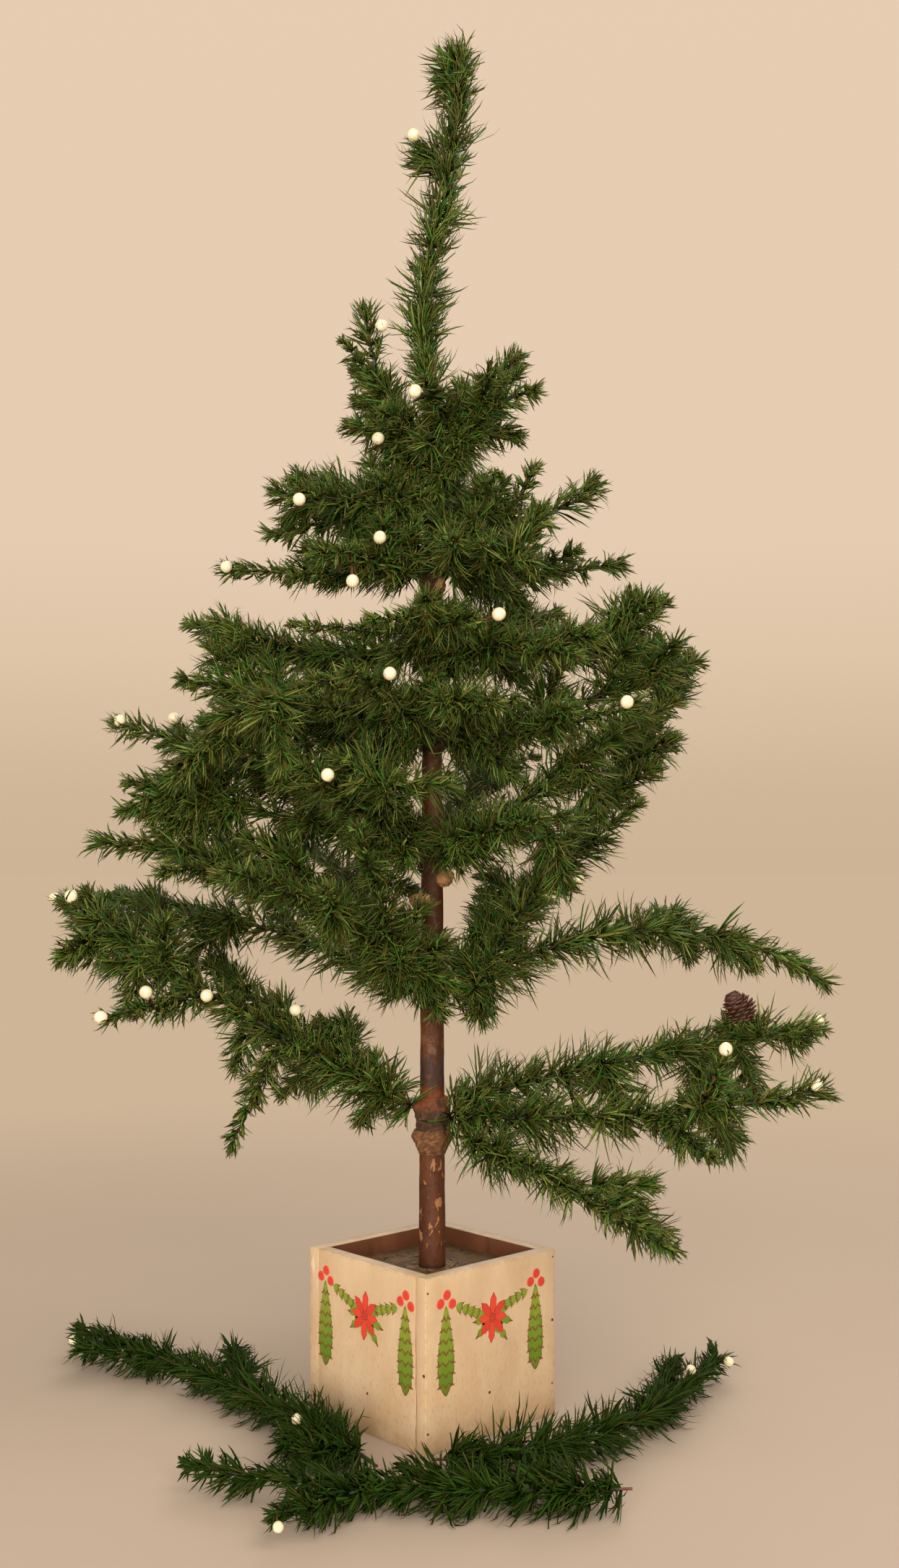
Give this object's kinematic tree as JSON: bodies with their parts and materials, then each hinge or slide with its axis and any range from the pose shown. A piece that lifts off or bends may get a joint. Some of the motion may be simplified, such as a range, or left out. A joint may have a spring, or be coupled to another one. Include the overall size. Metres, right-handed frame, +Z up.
{
  "type": "feather christmas tree",
  "caption": "Table-top tree of wired feather branches bound to a slim wooden trunk, standing in a square painted wooden box with a sunken top.",
  "frame": {"origin": "middle of the box underside, on the trunk axis, where the box stands on the floor", "axes": "+Z up along the trunk, X and Y square to the box faces; the corner that faces the viewer in the picture points along +X -Y"},
  "size_m": [0.5479, 0.4305, 0.9113],
  "materials": {
    "painted_board": "worn cream paint",
    "bare_wood": "brown stained, unpainted",
    "bark_wood": "red-brown, mottled and rubbed",
    "wrapping_paper": "crumpled brown paper",
    "feather": "dyed goose feather, satin",
    "berry": "glossy off-white",
    "cone": "dry red-brown scales"
  },
  "bodies": {
    "stand": {"side_board_right": "painted_board", "side_board_left": "painted_board", "end_board_front": "painted_board", "end_board_back": "painted_board", "base_block": "bare_wood", "inner_lid": "bare_wood", "trunk": "bark_wood", "binding_1": "wrapping_paper", "binding_2": "wrapping_paper", "binding_3": "wrapping_paper", "binding_4": "wrapping_paper", "binding_5": "wrapping_paper", "binding_6": "wrapping_paper", "binding_7": "wrapping_paper", "binding_8": "wrapping_paper", "leader_binding": "wrapping_paper", "leader": "feather"},
    "bough_low_left": {"branch_low_left": "feather", "berry_low_left": "berry"},
    "bough_low_right": {"branch_low_right": "feather", "berry_low_right": "berry", "fir_cone": "cone"},
    "bough_low_right_fork": {"branch_low_right_fork": "feather", "berry_low_right_fork": "berry"},
    "bough_low_front": {"branch_low_front": "feather"},
    "bough_mid_right": {"branch_mid_right": "feather"},
    "bough_sweep_right": {"branch_sweep_right": "feather"},
    "bough_mid_left": {"branch_mid_left": "feather"},
    "bough_cluster_left": {"branch_cluster_left": "feather"},
    "bough_mid_front": {"branch_mid_front": "feather"},
    "bough_mid_back": {"branch_mid_back": "feather"},
    "bough_upper_left": {"branch_upper_left": "feather", "berry_upper_left": "berry"},
    "bough_upper_right": {"branch_upper_right": "feather"},
    "bough_upper_back": {"branch_upper_back": "feather"},
    "bough_upper_front": {"branch_upper_front": "feather"},
    "bough_upper_front_right": {"branch_upper_front_right": "feather"},
    "bough_fourth_left": {"branch_fourth_left": "feather"},
    "bough_fourth_right": {"branch_fourth_right": "feather"},
    "bough_fourth_front": {"branch_fourth_front": "feather"},
    "bough_fourth_front_right": {"branch_fourth_front_right": "feather"},
    "bough_fourth_back": {"branch_fourth_back": "feather"},
    "bough_fifth_left": {"branch_fifth_left": "feather"},
    "bough_fifth_right": {"branch_fifth_right": "feather"},
    "bough_fifth_front": {"branch_fifth_front": "feather"},
    "bough_fifth_front_right": {"branch_fifth_front_right": "feather"},
    "bough_fifth_back": {"branch_fifth_back": "feather"},
    "bough_sixth_left": {"branch_sixth_left": "feather"},
    "bough_sixth_right": {"branch_sixth_right": "feather"},
    "bough_sixth_front_left": {"branch_sixth_front_left": "feather"},
    "bough_sixth_front_right": {"branch_sixth_front_right": "feather"},
    "bough_seventh_left": {"branch_seventh_left": "feather"},
    "bough_seventh_right": {"branch_seventh_right": "feather"},
    "bough_seventh_back": {"branch_seventh_back": "feather"},
    "bough_eighth_left": {"branch_eighth_left": "feather"},
    "bough_eighth_right": {"branch_eighth_right": "feather"},
    "bough_eighth_front": {"branch_eighth_front": "feather"},
    "loose_left": {"branch_loose_left": "feather"},
    "loose_right": {"branch_loose_right": "feather"},
    "loose_front": {"branch_loose_front": "feather"}
  },
  "joints": [
    {"name": "low_left_bend", "type": "hinge", "parent": "stand", "child": "bough_low_left", "pos_m": [-0.00723, -0.01419, 0.20525], "axis": [-0.891, 0.454, 0], "range_deg": [-20, 13]},
    {"name": "low_right_bend", "type": "hinge", "parent": "stand", "child": "bough_low_right", "pos_m": [0.01218, 0.01022, 0.20885], "axis": [0.6428, -0.766, 0], "range_deg": [-20, 18]},
    {"name": "low_right_fork_bend", "type": "hinge", "parent": "stand", "child": "bough_low_right_fork", "pos_m": [0.01527, 0.00467, 0.19925], "axis": [0.2924, -0.9563, 0], "range_deg": [-20, 35]},
    {"name": "low_front_bend", "type": "hinge", "parent": "stand", "child": "bough_low_front", "pos_m": [0.01594, -0.00168, 0.18965], "axis": [-0.1045, -0.9945, 0], "range_deg": [-20, 35]},
    {"name": "mid_right_bend", "type": "hinge", "parent": "stand", "child": "bough_mid_right", "pos_m": [0.01013, 0.01166, 0.28042], "axis": [0.7547, -0.6561, 0], "range_deg": [-15, 6]},
    {"name": "sweep_right_bend", "type": "hinge", "parent": "stand", "child": "bough_sweep_right", "pos_m": [0.00449, 0.01467, 0.29602], "axis": [0.9563, -0.2924, 0], "range_deg": [-20, 21]},
    {"name": "mid_left_bend", "type": "hinge", "parent": "stand", "child": "bough_mid_left", "pos_m": [-0.01279, -0.00862, 0.28402], "axis": [-0.5592, 0.829, 0], "range_deg": [-20, 28]},
    {"name": "cluster_left_bend", "type": "hinge", "parent": "stand", "child": "bough_cluster_left", "pos_m": [-0.00549, -0.01432, 0.2977], "axis": [-0.9336, 0.3584, 0], "range_deg": [-20, 8]},
    {"name": "mid_front_bend", "type": "hinge", "parent": "stand", "child": "bough_mid_front", "pos_m": [0.00161, -0.0153, 0.29002], "axis": [-0.9945, -0.1045, 0], "range_deg": [-20, 6]},
    {"name": "mid_back_bend", "type": "hinge", "parent": "stand", "child": "bough_mid_back", "pos_m": [-0.01446, 0.00526, 0.28882], "axis": [0.342, 0.9397, 0], "range_deg": [-20, 35]},
    {"name": "upper_left_bend", "type": "hinge", "parent": "stand", "child": "bough_upper_left", "pos_m": [-0.01103, -0.00993, 0.3744], "axis": [-0.6691, 0.7431, 0], "range_deg": [-9, 12]},
    {"name": "upper_right_bend", "type": "hinge", "parent": "stand", "child": "bough_upper_right", "pos_m": [0.01347, 0.00628, 0.37056], "axis": [0.4226, -0.9063, 0], "range_deg": [-6, 5]},
    {"name": "upper_back_bend", "type": "hinge", "parent": "stand", "child": "bough_upper_back", "pos_m": [-0.00786, 0.01257, 0.3768], "axis": [0.848, 0.5299, 0], "range_deg": [-20, 35]},
    {"name": "upper_front_bend", "type": "hinge", "parent": "stand", "child": "bough_upper_front", "pos_m": [0.00359, -0.01438, 0.3768], "axis": [-0.9703, -0.2419, 0], "range_deg": [-9, 18]},
    {"name": "upper_front_right_bend", "type": "hinge", "parent": "stand", "child": "bough_upper_front_right", "pos_m": [0.0144, -0.00359, 0.3744], "axis": [-0.2419, -0.9703, 0], "range_deg": [-20, 25]},
    {"name": "fourth_left_bend", "type": "hinge", "parent": "stand", "child": "bough_fourth_left", "pos_m": [-0.00651, -0.01278, 0.45166], "axis": [-0.891, 0.454, 0], "range_deg": [-14, 10]},
    {"name": "fourth_right_bend", "type": "hinge", "parent": "stand", "child": "bough_fourth_right", "pos_m": [0.01424, 0.002, 0.44614], "axis": [0.1392, -0.9903, 0], "range_deg": [-12, 7]},
    {"name": "fourth_front_bend", "type": "hinge", "parent": "stand", "child": "bough_fourth_front", "pos_m": [0.00672, -0.01263, 0.45694], "axis": [-0.8829, -0.4695, 0], "range_deg": [-20, 12]},
    {"name": "fourth_front_right_bend", "type": "hinge", "parent": "stand", "child": "bough_fourth_front_right", "pos_m": [0.01284, -0.00626, 0.46054], "axis": [-0.4384, -0.8988, 0], "range_deg": [-20, 19]},
    {"name": "fourth_back_bend", "type": "hinge", "parent": "stand", "child": "bough_fourth_back", "pos_m": [-0.01398, 0.00297, 0.45934], "axis": [0.2079, 0.9781, 0], "range_deg": [-20, 35]},
    {"name": "fifth_left_bend", "type": "hinge", "parent": "stand", "child": "bough_fifth_left", "pos_m": [-0.01005, -0.0097, 0.51001], "axis": [-0.6947, 0.7193, 0], "range_deg": [-10, 15]},
    {"name": "fifth_right_bend", "type": "hinge", "parent": "stand", "child": "bough_fifth_right", "pos_m": [0.01034, 0.00931, 0.51721], "axis": [0.6691, -0.7431, 0], "range_deg": [-6, 15]},
    {"name": "fifth_front_bend", "type": "hinge", "parent": "stand", "child": "bough_fifth_front", "pos_m": [0.01004, -0.00969, 0.51241], "axis": [-0.6947, -0.7193, 0], "range_deg": [-15, 23]},
    {"name": "fifth_front_right_bend", "type": "hinge", "parent": "stand", "child": "bough_fifth_front_right", "pos_m": [0.01399, -0.00049, 0.50521], "axis": [-0.0349, -0.9994, 0], "range_deg": [-8, 24]},
    {"name": "fifth_back_bend", "type": "hinge", "parent": "stand", "child": "bough_fifth_back", "pos_m": [-0.00433, 0.01332, 0.50401], "axis": [0.9511, 0.309, 0], "range_deg": [-20, 35]},
    {"name": "sixth_left_bend", "type": "hinge", "parent": "stand", "child": "bough_sixth_left", "pos_m": [-0.01059, -0.00857, 0.56268], "axis": [-0.6293, 0.7771, 0], "range_deg": [-18, 7]},
    {"name": "sixth_right_bend", "type": "hinge", "parent": "stand", "child": "bough_sixth_right", "pos_m": [0.00802, 0.01104, 0.56028], "axis": [0.809, -0.5878, 0], "range_deg": [-15, 9]},
    {"name": "sixth_front_left_bend", "type": "hinge", "parent": "stand", "child": "bough_sixth_front_left", "pos_m": [0.00237, -0.01346, 0.55548], "axis": [-0.9848, -0.1736, 0], "range_deg": [-19, 22]},
    {"name": "sixth_front_right_bend", "type": "hinge", "parent": "stand", "child": "bough_sixth_front_right", "pos_m": [0.01351, -0.0019, 0.56028], "axis": [-0.1392, -0.9903, 0], "range_deg": [-20, 26]},
    {"name": "seventh_left_bend", "type": "hinge", "parent": "stand", "child": "bough_seventh_left", "pos_m": [-0.00713, -0.01057, 0.60324], "axis": [-0.829, 0.5592, 0], "range_deg": [-6, 35]},
    {"name": "seventh_right_bend", "type": "hinge", "parent": "stand", "child": "bough_seventh_right", "pos_m": [0.01005, 0.00785, 0.60324], "axis": [0.6157, -0.788, 0], "range_deg": [-9, 35]},
    {"name": "seventh_back_bend", "type": "hinge", "parent": "stand", "child": "bough_seventh_back", "pos_m": [-0.00813, 0.00968, 0.60804], "axis": [0.766, 0.6428, 0], "range_deg": [-20, 35]},
    {"name": "eighth_left_bend", "type": "hinge", "parent": "stand", "child": "bough_eighth_left", "pos_m": [-0.00663, -0.00983, 0.64163], "axis": [-0.829, 0.5592, 0], "range_deg": [-20, 12]},
    {"name": "eighth_right_bend", "type": "hinge", "parent": "stand", "child": "bough_eighth_right", "pos_m": [0.00659, 0.00976, 0.64523], "axis": [0.829, -0.5592, 0], "range_deg": [-20, 28]},
    {"name": "eighth_front_bend", "type": "hinge", "parent": "stand", "child": "bough_eighth_front", "pos_m": [0.01192, 0.00083, 0.63803], "axis": [0.0698, -0.9976, 0], "range_deg": [-20, 34]},
    {"name": "loose_left_lift", "type": "slide", "parent": "stand", "child": "loose_left", "axis": [0, 0, 1], "range_m": [0, 0.1]},
    {"name": "loose_right_lift", "type": "slide", "parent": "stand", "child": "loose_right", "axis": [0, 0, 1], "range_m": [0, 0.1]},
    {"name": "loose_front_lift", "type": "slide", "parent": "stand", "child": "loose_front", "axis": [0, 0, 1], "range_m": [0, 0.1]}
  ]
}
